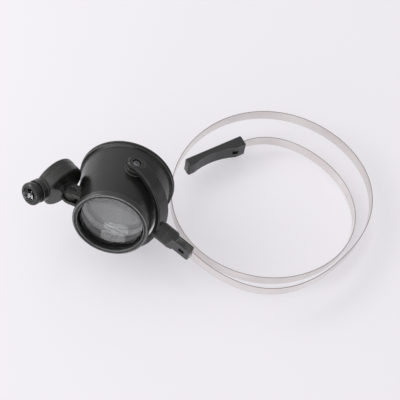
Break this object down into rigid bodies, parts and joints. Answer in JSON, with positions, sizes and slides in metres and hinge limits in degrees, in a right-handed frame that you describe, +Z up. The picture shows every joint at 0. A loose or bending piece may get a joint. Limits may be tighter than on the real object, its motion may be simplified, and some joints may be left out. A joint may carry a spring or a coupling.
{
  "type": "lighted eye loupe",
  "caption": "Loupe worn over the eye on a spring steel headband, with a barrel that tilts and turns in a yoke and a small battery lamp on a hinge at its side.",
  "frame": {"origin": "on the table under the middle of the whole piece as it lies in the picture", "axes": "+Z up, +X from the lamp across the loupe to the far side of the headband, +Y from the front lens side towards the eye cup side"},
  "size_m": [0.1655, 0.1012, 0.0502],
  "materials": {
    "barrel_plastic": "semi-gloss moulded black",
    "yoke_plastic": "semi-gloss moulded black",
    "cup_plastic": "satin black",
    "clip_plastic": "semi-gloss dark grey",
    "lamp_plastic": "semi-gloss dark grey",
    "head_plastic": "glossy black",
    "band_steel": "bright rolled spring steel",
    "screw_steel": "plain",
    "cell_steel": "nickel plated",
    "contact_brass": "plain",
    "lens_glass": "polished",
    "led_resin": "clear cast resin"
  },
  "bodies": {
    "headband": {"band_clip": "clip_plastic", "headband": "band_steel", "end_piece": "clip_plastic", "swivel_screw": "screw_steel"},
    "yoke": {"yoke": "yoke_plastic"},
    "loupe": {"barrel": "barrel_plastic", "eye_cup": "cup_plastic", "lens_ring": "barrel_plastic", "front_lens": "lens_glass", "lens_spacer": "cup_plastic", "rear_lens": "lens_glass", "pivot_screws": "screw_steel", "lamp_bracket": "lamp_plastic", "hinge_screw": "screw_steel"},
    "lamp": {"lamp_housing": "lamp_plastic", "lamp_neck": "head_plastic", "contact_disc": "contact_brass", "coin_cells": "cell_steel", "led": "led_resin", "led_seat": "cup_plastic", "led_leads": "cell_steel"},
    "cover": {"battery_cover": "lamp_plastic", "contact_spring": "contact_brass"},
    "head": {"lamp_head": "head_plastic"}
  },
  "joints": [
    {"name": "band_swivel", "type": "hinge", "parent": "headband", "child": "yoke", "pos_m": [-0.01699, -0.02507, 0.02249], "axis": [0.7747, -0.616, -0.1428], "continuous": true},
    {"name": "loupe_tilt", "type": "hinge", "parent": "yoke", "child": "loupe", "pos_m": [-0.03931, -0.00732, 0.0266], "axis": [0.3678, 0.2554, 0.8941], "range_deg": [-30, 4]},
    {"name": "lamp_hinge", "type": "hinge", "parent": "loupe", "child": "lamp", "pos_m": [-0.061, -0.01079, 0.03652], "axis": [0.3678, 0.2554, 0.8941], "range_deg": [-1, 78]},
    {"name": "cover_turn", "type": "hinge", "parent": "lamp", "child": "cover", "pos_m": [-0.07015, -0.00155, 0.03708], "axis": [-0.6891, 0.7205, 0.0777], "range_deg": [0, 30]},
    {"name": "head_twist", "type": "hinge", "parent": "lamp", "child": "head", "pos_m": [-0.07683, -0.01403, 0.04339], "axis": [-0.6244, -0.6447, 0.441], "range_deg": [0, 90]}
  ]
}
